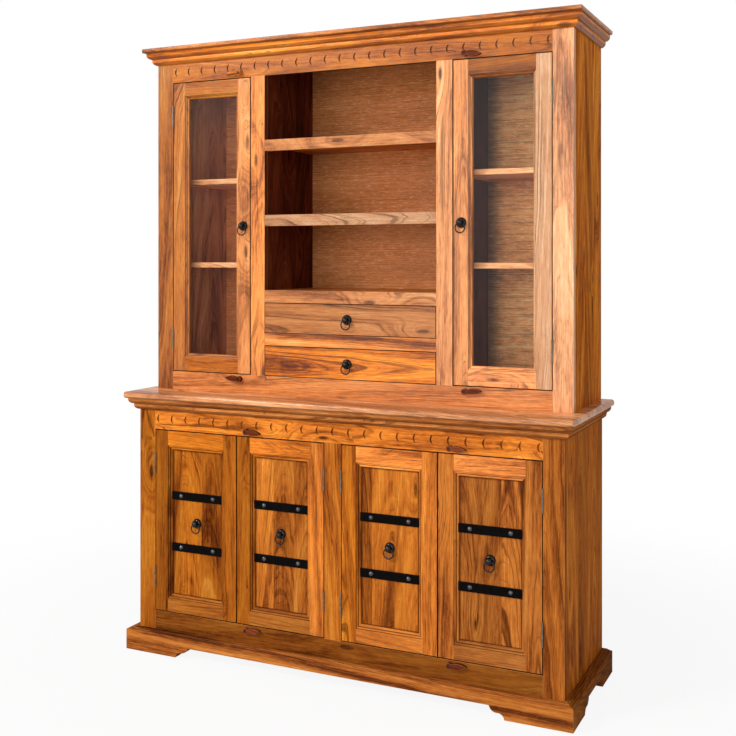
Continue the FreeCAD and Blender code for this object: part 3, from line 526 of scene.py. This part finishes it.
def plywood(name):
    """Veneer with fine level grain, pale flecks and a few wavy lines.

    The front of the hutch's back is painted darker towards the left of the middle bay and of the right cabinet as
    painted shadow, brighter in the left cabinet and on the right of the right cabinet as painted light, and
    streaked with a paler, bluer cast as painted sheen.
    """
    made, s = material(name)
    place = s.attribute("grain")["Vector"]
    # One on the hutch's back, whose front gets painted light and shade
    shaded = s.colours(s.attribute("board")["Color"])[1]
    along, up, through = s.parts(place)

    level = s.times_plus(s.stretched(place, WANDER_SCALE), WANDER, up)
    level = s.noise_line(level, LEVEL_LINES, 3.0, 0.65)
    flecks = s.span(s.stretched(place, FLECK_SCALE, 5.0, 0.75), *FLECK_RIM)
    fibre = s.stretched(place, VENEER_FIBRE_SCALE, 3.0, 0.6)
    cloud = s.stretched(place, CLOUD_SCALE)
    patch = s.stretched(place, PATCH_SCALE, 4.0, 0.7)
    crests = s.crests(s.times_plus(s.stretched(place, CREST_SCALE), CREST_BEND, up), CREST_LINES)
    waves = s.times(s.span(crests, *CREST_RIM), s.span(cloud, *CREST_FADE))

    shade = s.times_plus(cloud, CLOUD_WEIGHT, VENEER_SHADE)
    shade = s.times_plus(fibre, VENEER_FIBRE_WEIGHT, shade)
    shade = s.times_plus(level, LEVEL_WEIGHT, shade)
    shade = s.plus(shade, s.centred(patch, PATCH_WEIGHT))
    colour = s.marked(s.ramp(shade, VENEER), flecks, FLECK_MARK)
    colour = s.marked(colour, waves, WAVE_MARK)

    # Painted shadow and light along x, with streaks of painted sheen in the right cabinet
    in_right = s.math("GREATER_THAN", along, BACK_HALF)
    in_left = s.math("LESS_THAN", along, -BACK_HALF)
    uneven = s.times_plus(level, SHEEN_STREAK_LEVEL, s.times(patch, SHEEN_STREAK_PATCH))
    right = s.times(s.span(along, *RIGHT_PAINTED_SHADOW_AND_LIGHT), s.span(uneven, *RIGHT_PAINTED_SHEEN_STREAKS))
    bright = s.switched(in_right, s.span(along, *MIDDLE_PAINTED_SHADOW), right)
    bright = s.switched(in_left, bright, LEFT_PAINTED_LIGHT)
    # Only the front of the hutch's back gets the painted light, shade and sheen
    front = s.times(shaded, s.math("LESS_THAN", through, 0.0))
    bright = s.switched(front, 1.0, bright)
    # Paler, bluer cast as painted sheen, strongest in the right cabinet
    painted_sheen = s.times(front, s.times_plus(in_right, RIGHT_PAINTED_SHEEN_TINT, PAINTED_SHEEN_TINT))
    green = s.times(bright, s.plus(painted_sheen, 1.0))
    blue = s.times(bright, s.times_plus(painted_sheen, PAINTED_SHEEN_BLUE, 1.0))
    colour = s.mix(1.0, colour, s.vector(bright, green, blue), "MULTIPLY")

    height = s.times_plus(flecks, FLECK_HEIGHT, fibre)
    s.varnished(colour, s.times_plus(fibre, *VENEER_SHEEN), VENEER_COAT, VENEER_COAT_ROUGHNESS,
                s.bump(height, *VENEER_RELIEF))
    return made


def metal(name, dark, pale, worn, roughness, metallic, lumps, specular=0.5):
    """Forged or rolled metal: mottled colour, hammered unevenness and rubbed edges."""
    made, s = material(name)
    place = s.own_place()
    mottle = s.noise(place, *METAL_MOTTLE)
    scratch = s.stretched(place, METAL_SCRATCHES)
    dents = s.noise(place, METAL_DENTS)
    edge = s.math("MAXIMUM", s.attribute("edge")["Fac"], 0.0)
    colour = s.mix(s.span(mottle, *METAL_MOTTLE_RIM), linear(*dark), linear(*pale))
    colour = s.mix(s.times(edge, s.span(mottle, *METAL_RUBBED)), colour, linear(*worn))
    sheen = s.times_plus(mottle, MOTTLE_SHEEN, roughness - MOTTLE_SHEEN / 2)
    sheen = s.times_plus(scratch, SCRATCH_SHEEN, sheen)
    s.surface(s.add("BsdfPrincipled", {
        "Base Color": colour, "Roughness": sheen, "Metallic": metallic,
        "Specular IOR Level": specular, "Normal": s.bump(dents, lumps, METAL_DENT_DEPTH)}))
    return made


def window_glass(name):
    """Clear pane with slightly uneven faces, a soft veil of light and a clear mirror at a slant."""
    made, s = material(name)
    place = s.own_place()
    normal = s.bump(s.noise(place, PANE_WAVES, 1.0), *PANE_RELIEF)
    clear = s.add("BsdfTransparent", {0: PANE_TINT})
    hazy = s.blend(PANE_MIRROR, clear, s.gloss(PANE_HAZE, normal))
    smear = s.span(s.noise(place, PANE_SMEARS, 3.0), *PANE_SMEAR)
    facing = s.add("LayerWeight", {"Blend": 0.5, "Normal": normal}).outputs["Facing"]
    grazing = s.math("POWER", facing, PANE_GRAZING)
    s.surface(s.blend(grazing, hazy, s.gloss(smear, normal)))
    return made


# Woods: colours, roughness, varnish
ACACIA = wood("acacia", AMBER, TAN, 0.48, 0.04)
SATIN = wood("acacia_satin", AMBER, TAN, 0.46, 0.45)
POLISHED = wood("acacia_polished", AMBER, TAN, 0.34, 0.5)
LATCH_WOOD = wood("dark_wood", RED_BROWN, RED_BROWN, 0.42, 0.12)
PLYWOOD = plywood("plywood")
# Metals: dark, pale and worn colour, roughness, metallic share, lumps, gloss
IRON = metal("iron", (6, 5, 4), (12, 10, 9), (32, 29, 26), 0.5, 0.0, 0.14, 0.02)
PULL_IRON = metal("iron_pull", (7, 7, 7), (14, 13, 13), (26, 25, 24), 0.15, 0.0, 0.03, 0.26)
RIVET_IRON = metal("iron_rivet", (58, 58, 60), (92, 92, 94), (130, 128, 126), 0.25, 0.9, 0.15)
STEEL = metal("steel", (94, 88, 78), (126, 120, 108), (170, 164, 152), 0.34, 1.0, 0.05)
SCREW_STEEL = metal("screw_steel", (36, 27, 21), (62, 50, 42), (120, 108, 96), 0.5, 0.9, 0.1)
GLASS = window_glass("glass")


def solids_of(mesh):
    """Corner points and faces of each closed solid of a node."""
    keys = [tuple(round(c * MICROMETRES) for c in vertex.co) for vertex in mesh.vertices]
    places = {}
    faces = []
    open_edges = {}
    for face in mesh.polygons:
        ring = [keys[index] for index in face.vertices]
        for key, index in zip(ring, face.vertices):
            places.setdefault(key, mesh.vertices[index].co.copy())
        faces.append(ring)
        for pair in zip(ring, ring[1:] + ring[:1]):
            back = pair[::-1]
            if back in open_edges:
                open_edges[back] -= 1
                if not open_edges[back]:
                    del open_edges[back]
            elif pair[0] != pair[1]:
                open_edges[pair] = open_edges.get(pair, 0) + 1
        if not open_edges:
            yield places, faces
            places = {}
            faces = []


class Solid:
    """One solid of a node, with its flat faces joined and its long edges rounded."""

    rim = None
    gaps = None
    carved = False
    crowning = False
    moulded = False

    def __init__(self, places, faces):
        self.mesh = bmesh.new()
        corners = {key: self.mesh.verts.new(co) for key, co in places.items()}
        for ring in faces:
            if len(set(ring)) == len(ring):
                self.mesh.faces.new([corners[key] for key in ring])
        bmesh.ops.dissolve_limit(self.mesh, angle_limit=FLAT_ANGLE, use_dissolve_boundaries=False,
                                 verts=self.mesh.verts, edges=self.mesh.edges, delimit=set())
        self.low = Vector([min(co[axis] for co in places.values()) for axis in range(3)])
        self.high = Vector([max(co[axis] for co in places.values()) for axis in range(3)])
        self.middle = (self.low + self.high) / 2
        self.size = self.high - self.low
        self.rounded = set()

    def order(self):
        return round(self.middle.x, 2), round(self.middle.z, 3)

    def round_edges(self, width, shortest, segments=EDGE_STEPS, chosen=None):
        edges = [edge for edge in self.mesh.edges if len(edge.link_faces) == 2
                 and edge.is_convex and edge.calc_face_angle() > SHARP_ANGLE
                 and edge.calc_length() > shortest and (chosen is None or chosen(edge))]
        made = bmesh.ops.bevel(self.mesh, geom=edges, offset=width, offset_type="OFFSET",
                               segments=segments, profile=ROUND_PROFILE, affect="EDGES",
                               clamp_overlap=True, loop_slide=True)
        self.rounded = set(made["faces"])

    def wear(self, face):
        """Wear and painted highlight of a rounded edge, painted shade in a gouge, on an underside, a moulding or
        in a gap, else zero.
        """
        # Rounded edges: wear, and in the wood also painted highlight
        if face in self.rounded:
            return EDGE_WEAR_AND_HIGHLIGHT
        middle = face.calc_center_median()
        inside = all(self.low[axis] + GOUGE_DEPTH < middle[axis] < self.high[axis] - GOUGE_DEPTH
                     for axis in range(3))
        # Painted shade inside the carved gouges
        if inside and self.carved:
            return GOUGE_PAINTED_SHADE
        # Painted shade on the undersides of the crowns
        if self.crowning and face.normal.z < UNDERSIDE_SLOPE:
            return UNDERSIDE_PAINTED_SHADE
        # Painted shade on the steep walls and ledges inside the door mouldings
        steep, ledge = MOULDING_SLOPE
        if inside and self.moulded and not steep < abs(face.normal.y) < ledge:
            return MOULDING_PAINTED_SHADE
        # Painted shade on the faces in the gaps
        return GAP_PAINTED_SHADE if self.gaps and self.gaps(face, middle) else 0.0

    def shade_rim(self, left, right, bottom, top):
        """Cuts the faces along the sight lines and, further in, where the corners' painted shadow ends."""
        sides = ((0, left, 1), (0, right, -1), (2, bottom, 1), (2, top, -1))
        for (axis, place, inward), width in zip(sides, PANEL_SHADE):
            for cut in (place, place + inward * width):
                point = Vector((0.0, 0.0, 0.0))
                point[axis] = cut
                normal = Vector((0.0, 0.0, 0.0))
                normal[axis] = 1.0
                whole = self.mesh.verts[:] + self.mesh.edges[:] + self.mesh.faces[:]
                bmesh.ops.bisect_plane(self.mesh, geom=whole, plane_co=point, plane_no=normal)
        self.rim = (left, right, bottom, top)

    def corner_wear(self, place, whole_face):
        """Painted shadow of a panel's corner beside the frame, else the value of the whole face."""
        if self.rim is None:
            return whole_face
        left, right, bottom, top = self.rim
        covered = (place.x < left + GAP_DEPTH or place.x > right - GAP_DEPTH
                   or place.z < bottom + GAP_DEPTH or place.z > top - GAP_DEPTH)
        return PANEL_PAINTED_SHADOW if covered else 0.0


def add_piece(node, body, solids, smooth=SHARP_ANGLE):
    """One piece from a node's solids, each with its material, grain frame and board values."""
    corners, faces, grain, board, edge, index, materials = [], [], [], [], [], [], []
    for solid in solids:
        start = len(corners)
        if solid.material not in materials:
            materials.append(solid.material)
        for number, vertex in enumerate(solid.mesh.verts):
            vertex.index = number
            corners.append(vertex.co.copy())
            local = vertex.co - solid.middle
            grain += [local[axis] + shift for axis, shift in zip(solid.axes, solid.shift)]
            board += solid.board
        for face in solid.mesh.faces:
            faces.append([start + vertex.index for vertex in face.verts])
            # Edge value of each corner: wear and painted highlight above zero, painted shade below zero
            whole = solid.wear(face)
            edge += [solid.corner_wear(vertex.co, whole) for vertex in face.verts]
            index.append(materials.index(solid.material))
        solid.mesh.free()
    mesh = bpy.data.meshes.new(node + "_finish")
    mesh.from_pydata(corners, [], faces)
    mesh.attributes.new("grain", "FLOAT_VECTOR", "POINT").data.foreach_set("vector", grain)
    mesh.attributes.new("board", "FLOAT_COLOR", "POINT").data.foreach_set("color", board)
    mesh.attributes.new("edge", "FLOAT", "CORNER").data.foreach_set("value", edge)
    for entry in materials:
        mesh.materials.append(entry)
    mesh.polygons.foreach_set("material_index", index)
    mesh.shade_smooth()
    mesh.set_sharp_from_angle(angle=smooth)
    piece = bpy.data.objects.new(node + "_finish", mesh)
    bpy.context.scene.collection.objects.link(piece)
    weighted = piece.modifiers.new("even_shading", "WEIGHTED_NORMAL")
    weighted.keep_sharp = True
    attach(piece, body)
    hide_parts(node)


def set_board(solid, name, number, tone=0.0, warmth=0.0, plank=ONE_BOARD):
    """Grain along the longest side, with a seed of the board's own."""
    dice = random.Random(name + str(number))
    axes = sorted(range(3), key=lambda axis: -solid.size[axis])
    shift = plank / 2
    if plank < ONE_BOARD:
        strips = math.ceil(solid.size[axes[1]] / plank) + 1
        shift = (strips + dice.uniform(*FIRST_STRIP)) * plank
    solid.axes = axes
    solid.shift = (0.0, shift, 0.0)
    solid.board = [dice.uniform(0.0, SEEDS), tone, warmth, plank]


def sorted_solids(node):
    found = [Solid(places, faces) for places, faces in solids_of(frame["nodes"][node].data)]
    return sorted(found, key=Solid.order)


def gap_faces(node):
    """Test for the faces of a node that stand in the gaps round the doors and drawers, which get painted shade."""
    if node in FACE_FRAME:
        return lambda face, middle: abs(face.normal.y) < SIDEWAYS and abs(middle.x) < CASE_HALF
    if "_door_" in node or node.endswith("_drawer_front"):
        low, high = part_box(node)
        return lambda face, middle: any(abs(middle[axis] - end[axis]) < GAP_DEPTH
                                        for axis in (0, 2) for end in (low, high))
    return None


def wooden(node, body, made):
    """Boards of one node in solid wood."""
    looks = BOARDS.get(node, PLAIN_BOARD)
    panelled = node.startswith("lower_door")
    solids = sorted_solids(node)
    for number, solid in enumerate(solids):
        tone, warmth = looks[min(number, len(looks) - 1)]
        plank = PLANKS.get(node, ONE_BOARD)
        if panelled and number == DOOR_PANEL:
            plank = DOOR_PANEL_PLANK
        set_board(solid, node, number, tone, warmth, plank)
        # Dark red-brown wood on the listed partition boards, as painted shade
        solid.material = LATCH_WOOD if number in DARK_BOARDS.get(node, ()) else made
        solid.carved = node in CARVED
        solid.moulded = "_door_" in node
        solid.crowning = node in CROWNS
        solid.gaps = gap_faces(node)
        solid.round_edges(WOOD_EDGE, LONG_EDGE)
    if panelled:
        left, bottom, panel, top, right = solids
        # Painted shadow along the panel's rim beside its frame
        panel.shade_rim(left.high.x, right.low.x, bottom.high.z, top.low.z)
    add_piece(node, body, solids)


def plain(node, body, made, smooth=METAL_ANGLE, edge=0.0, shaded=0.0):
    """Rings, panes or plywood sheets of one node."""
    solids = sorted_solids(node)
    for number, solid in enumerate(solids):
        set_board(solid, node, number, shaded)
        solid.material = made
        if edge:
            solid.round_edges(edge, LONG_EDGE)
    add_piece(node, body, solids, smooth)


def latch(node, body):
    """Wooden turn button with a soft outline."""
    solid, = sorted_solids(node)
    pale = node == "latch_upper_door_left_top"
    set_board(solid, node, 0, *(PALE_LATCH if pale else DARK_LATCH))
    solid.material = ACACIA if pale else LATCH_WOOD
    joint, = [entry for entry in frame["joints"] if entry["child"] == body]
    hole = Vector(joint["pos_m"])

    def outline(edge):
        """True along the front and back outline, false round the screw hole."""
        flat = [face for face in edge.link_faces if abs(face.normal.y) > SQUARE_ON]
        side = [face for face in edge.link_faces if abs(face.normal.y) < SIDEWAYS]
        if not flat or not side:
            return False
        away = (edge.verts[0].co + edge.verts[1].co) / 2 - hole
        return side[0].normal.dot(away) > 0

    solid.round_edges(LATCH_EDGE, 0.0, LATCH_STEPS, outline)
    add_piece(node, body, [solid], LATCH_ANGLE)


def metalwork(node, body, slot):
    """Straps, rivets, studs, hinge leaves, pins and screws of one node."""
    solids = sorted_solids(node)
    for number, solid in enumerate(solids):
        set_board(solid, node, number)
        if node == "latch_screws":
            solid.material = SCREW_STEEL
        elif slot == "steel" or solid.size.z > LEAF_HEIGHT:
            solid.material = STEEL
        elif solid.size.x > STRAP_LENGTH:
            solid.material = IRON
            solid.round_edges(STRAP_EDGE, LONG_EDGE)
        elif solid.size.x < RIVET_WIDTH:
            solid.material = RIVET_IRON
        else:
            solid.material = PULL_IRON
    add_piece(node, body, solids, METAL_ANGLE)


def dress():
    """Every node gets its finish."""
    for body, nodes in frame["record"]["behaviour"]["bodies"].items():
        for node in nodes:
            if node.startswith("latch_") and node != "latch_screws":
                latch(node, body)
            elif node in ("case_hinge_leaves", "hinge_pins", "latch_screws"):
                metalwork(node, body, "steel")
            elif node.endswith("_ironwork") or node.endswith("_pull"):
                metalwork(node, body, "iron")
            elif node.endswith("_ring"):
                plain(node, body, PULL_IRON)
            elif node.endswith("_glass"):
                plain(node, body, GLASS, edge=FINE_EDGE)
            elif node == "hutch_back":
                # The hutch's back gets painted light and shade on its front
                plain(node, body, PLYWOOD, SHARP_ANGLE, FINE_EDGE, 1.0)
            elif node == "base_back" or node.endswith("_box"):
                plain(node, body, PLYWOOD, SHARP_ANGLE, FINE_EDGE)
            elif node in ("countertop", "hutch_top"):
                wooden(node, body, POLISHED)
            elif node in HUTCH_FRONT:
                wooden(node, body, SATIN)
            else:
                wooden(node, body, ACACIA)


def seen_share(s):
    """One for what is seen of the surroundings directly, in a reflection or through a pane."""
    path = s.add("LightPath").outputs
    seen = s.math("MAXIMUM", path["Is Camera Ray"], path["Is Glossy Ray"])
    return s.math("MAXIMUM", seen, path["Is Transmission Ray"])


def stage():
    """Pale floor and white surroundings."""
    world = bpy.data.worlds.new("studio")
    bpy.context.scene.world = world
    world.use_nodes = True
    s = Shader(world.node_tree)
    soft = s.add("Background", {"Color": WHITE, "Strength": AMBIENT})
    white = s.add("Background", {"Color": WHITE, "Strength": 1.0})
    mixed = s.blend(seen_share(s), soft, white)
    s.feed(s.add("OutputWorld").inputs[0], mixed.outputs[0])

    mesh = bpy.data.meshes.new("floor")
    grid = bmesh.new()
    bmesh.ops.create_grid(grid, x_segments=FLOOR_PARTS, y_segments=FLOOR_PARTS, size=FLOOR_HALF)
    grid.to_mesh(mesh)
    grid.free()
    floor = bpy.data.objects.new("floor", mesh)
    floor.location.z = FLOOR_LEVEL
    bpy.context.scene.collection.objects.link(floor)
    made, s = material("pale_floor")
    place = s.own_place()
    matt = s.add("BsdfDiffuse", {"Color": s.mix(s.noise(place, FLOOR_SPECKS, 3.0), *FLOOR_GREYS)})
    white = s.add("Emission", {"Color": WHITE, "Strength": 1.0})
    away = s.add("VectorMath", {0: place}, operation="LENGTH").outputs["Value"]
    shown = s.span(away, *FLOOR_SHADOW_REACH, FLOOR_WHITE_SHARE, 1.0)
    s.surface(s.blend(s.times(seen_share(s), shown), matt, white))
    mesh.materials.append(made)


def area_light(name, place, target, size, power):
    data = bpy.data.lights.new(name, "AREA")
    data.shape = "RECTANGLE"
    data.size, data.size_y = size
    data.energy = power
    lamp = bpy.data.objects.new(name, data)
    lamp.location = place
    lamp.rotation_euler = (Vector(target) - Vector(place)).to_track_quat("-Z", "Y").to_euler()
    bpy.context.scene.collection.objects.link(lamp)


def camera():
    data = bpy.data.cameras.new("camera")
    data.lens = CAMERA_LENS
    data.sensor_width = CAMERA_SENSOR
    data.shift_y = CAMERA_SHIFT
    eye = bpy.data.objects.new("camera", data)
    eye.location = CAMERA_PLACE
    eye.rotation_euler = CAMERA_TURN
    bpy.context.scene.collection.objects.link(eye)
    bpy.context.scene.camera = eye


camera()
dress()
stage()
for lamp_values in LAMPS:
    area_light(*lamp_values)
bpy.context.scene.view_settings.view_transform = "Standard"
